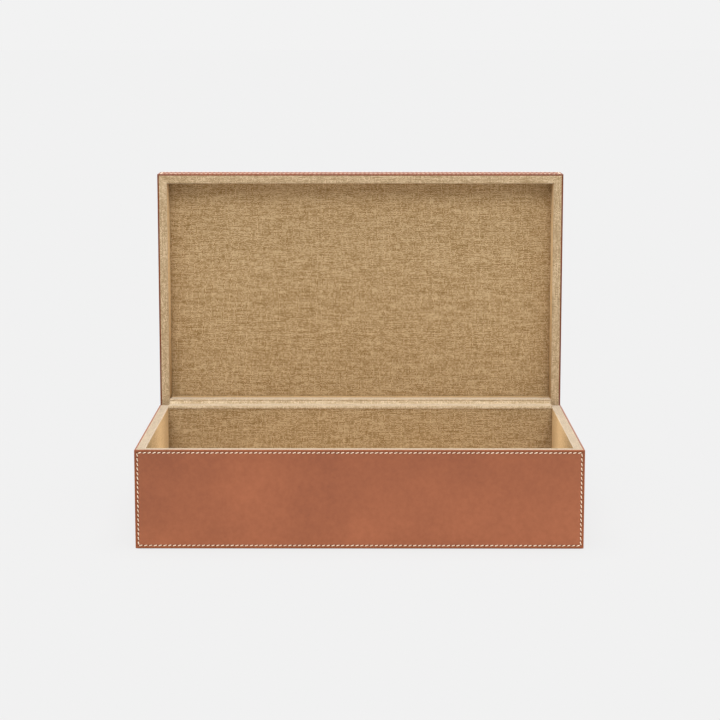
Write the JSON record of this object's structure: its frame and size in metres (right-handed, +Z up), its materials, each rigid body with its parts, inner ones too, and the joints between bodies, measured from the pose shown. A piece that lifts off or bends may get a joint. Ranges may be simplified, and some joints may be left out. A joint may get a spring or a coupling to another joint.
{
  "type": "stationery box",
  "caption": "Low rectangular leather-covered box with a linen lining and a hinged lid that stands upright when open; panels are edged with contrast stitching.",
  "frame": {"origin": "middle of the underside of the base, on the surface that the box stands on", "axes": "+X along the width to the right as seen from the front, +Y to the back where the hinge is, +Z up"},
  "size_m": [0.4004, 0.2745, 0.3197],
  "materials": {
    "leather": "smooth vegetable-tanned leather, satin",
    "linen": "natural linen, plain weave",
    "hinge_linen": "natural linen strip, plain weave",
    "thread": "waxed linen thread, cream",
    "board": "pressed fibreboard",
    "suede": "suede, matt"
  },
  "bodies": {
    "base": {"base_front_board": "board", "base_right_board": "board", "base_back_board": "board", "base_left_board": "board", "base_floor_board": "board", "base_front_leather": "leather", "base_right_leather": "leather", "base_back_leather": "leather", "base_left_leather": "leather", "base_underside_cover": "suede", "base_front_lining": "linen", "base_right_lining": "linen", "base_back_lining": "linen", "base_left_lining": "linen", "base_floor_lining": "linen", "base_front_stitching": "thread", "base_right_stitching": "thread", "base_back_stitching": "thread", "base_left_stitching": "thread", "hinge_leather": "leather", "hinge_linen": "hinge_linen"},
    "lid": {"lid_front_board": "board", "lid_right_board": "board", "lid_back_board": "board", "lid_left_board": "board", "lid_top_board": "board", "lid_front_leather": "leather", "lid_right_leather": "leather", "lid_back_leather": "leather", "lid_left_leather": "leather", "lid_top_leather": "leather", "lid_front_lining": "linen", "lid_right_lining": "linen", "lid_back_lining": "linen", "lid_left_lining": "linen", "lid_panel_lining": "linen", "lid_front_stitching": "thread", "lid_right_stitching": "thread", "lid_back_stitching": "thread", "lid_left_stitching": "thread", "lid_top_stitching": "thread"}
  },
  "joints": [
    {"name": "lid_hinge", "type": "hinge", "parent": "base", "child": "lid", "pos_m": [0, 0.1175, 0.0845], "axis": [1, 0, 0], "range_deg": [0, 90], "deforming": ["hinge_leather", "hinge_linen"]}
  ]
}
